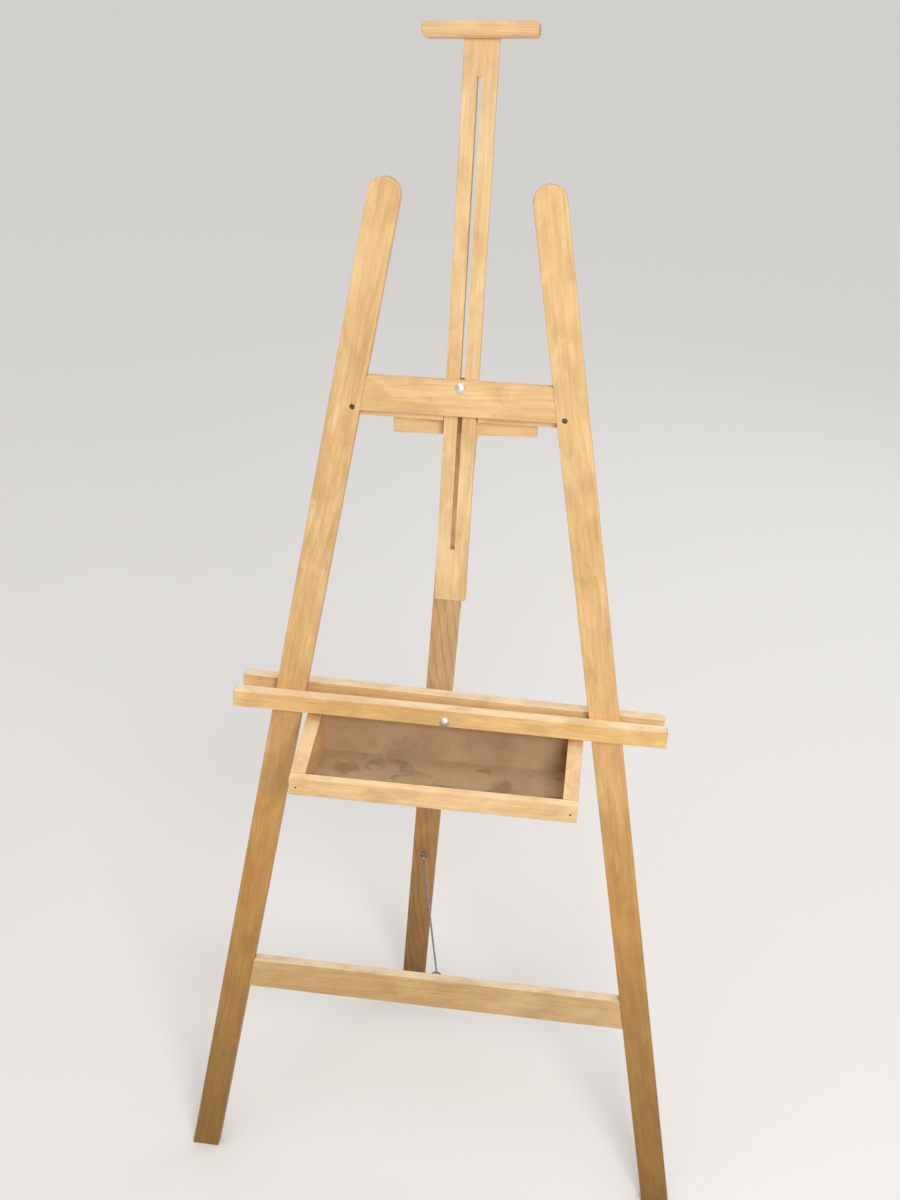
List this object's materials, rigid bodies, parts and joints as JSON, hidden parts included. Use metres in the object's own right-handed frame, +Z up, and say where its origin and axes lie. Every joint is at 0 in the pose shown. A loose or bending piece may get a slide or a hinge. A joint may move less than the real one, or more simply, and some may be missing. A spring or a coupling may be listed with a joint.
{
  "type": "h-frame easel",
  "caption": "Free-standing wooden easel: leaning front frame, slotted mast with a head bar, clamped shelf with a shallow tray, and a hinged rear leg held by a hook stay.",
  "frame": {"origin": "On the floor, at the middle of the overall footprint: midway between the two front feet, and midway between the front of the front feet and the back of the rear foot", "axes": "+Z up; -Y is the front, where the painter stands; +X to the right as seen from the front"},
  "size_m": [0.8246, 0.4372, 1.7858],
  "materials": {
    "pine": "planed pine, thinly oiled, mid yellow-brown",
    "pale_pine": "planed pine, thinly oiled, paler boards",
    "dark_pine": "planed pine, darker board with streaked grain",
    "hardboard": "hardboard, smooth face, marked by use",
    "zinc_steel": "zinc-plated steel, dull shine",
    "dark_steel": "darkened steel wire, screws and nails"
  },
  "bodies": {
    "frame": {"left_leg": "pine", "right_leg": "pine", "upper_rail": "pale_pine", "lower_rail": "pine", "upper_rail_dowels": "pale_pine", "lower_rail_dowels": "pale_pine", "left_spacer": "pale_pine", "right_spacer": "pale_pine", "rear_block": "pine", "leg_screws": "dark_steel", "block_screws": "dark_steel", "mast_bolt": "zinc_steel", "mast_washer": "zinc_steel", "hinge_fixed_leaf": "zinc_steel", "hinge_pin": "zinc_steel", "hinge_block_screws": "zinc_steel", "rail_eye": "dark_steel"},
    "mast": {"mast": "pale_pine", "mast_head": "pale_pine", "mast_head_screws": "dark_steel"},
    "mast_wing_nut": {"mast_wing_nut": "zinc_steel"},
    "shelf": {"shelf_front_rail": "pale_pine", "shelf_rear_rail": "pale_pine", "shelf_bolt": "zinc_steel", "shelf_washer": "zinc_steel", "tray_left_side": "pine", "tray_right_side": "pine", "tray_front": "pale_pine", "tray_back_panel": "hardboard", "tray_floor": "hardboard", "tray_front_nails": "dark_steel", "tray_floor_nails": "dark_steel", "tray_panel_nails": "dark_steel", "tray_screws": "dark_steel"},
    "shelf_wing_nut": {"shelf_wing_nut": "zinc_steel"},
    "rear_leg": {"rear_leg": "dark_pine", "hinge_moving_leaf": "zinc_steel", "hinge_leg_screws": "zinc_steel", "leg_eye": "dark_steel"},
    "stay": {"stay_hook": "dark_steel"}
  },
  "joints": [
    {"name": "mast_slide", "type": "slide", "parent": "frame", "child": "mast", "axis": [0.0157, 0.1736, 0.9847], "range_m": [-0.098, 0.23]},
    {"name": "mast_nut_turn", "type": "hinge", "parent": "frame", "child": "mast_wing_nut", "pos_m": [0.0025, 0.05484, 1.33074], "axis": [0, 0.9848, -0.1736], "continuous": true},
    {"name": "shelf_slide", "type": "slide", "parent": "frame", "child": "shelf", "axis": [0, 0.1736, 0.9848], "range_m": [-0.21, 0.035]},
    {"name": "shelf_nut_turn", "type": "hinge", "parent": "shelf", "child": "shelf_wing_nut", "pos_m": [0.002, -0.02609, 0.85049], "axis": [0, 0.9848, -0.1736], "continuous": true},
    {"name": "rear_leg_fold", "type": "hinge", "parent": "frame", "child": "rear_leg", "pos_m": [0.0025, 0.07024, 1.30466], "axis": [-0.9973, 0.0127, 0.0721], "range_deg": [0, 12.5]},
    {"name": "stay_swing", "type": "hinge", "parent": "rear_leg", "child": "stay", "pos_m": [-0.06368, 0.15062, 0.37543], "axis": [-0.9722, -0.2292, 0.0469], "range_deg": [0, 81.4]}
  ],
  "couplings": [
    {"joint": "stay_swing", "follows": "rear_leg_fold", "ratio": 6.512}
  ]
}
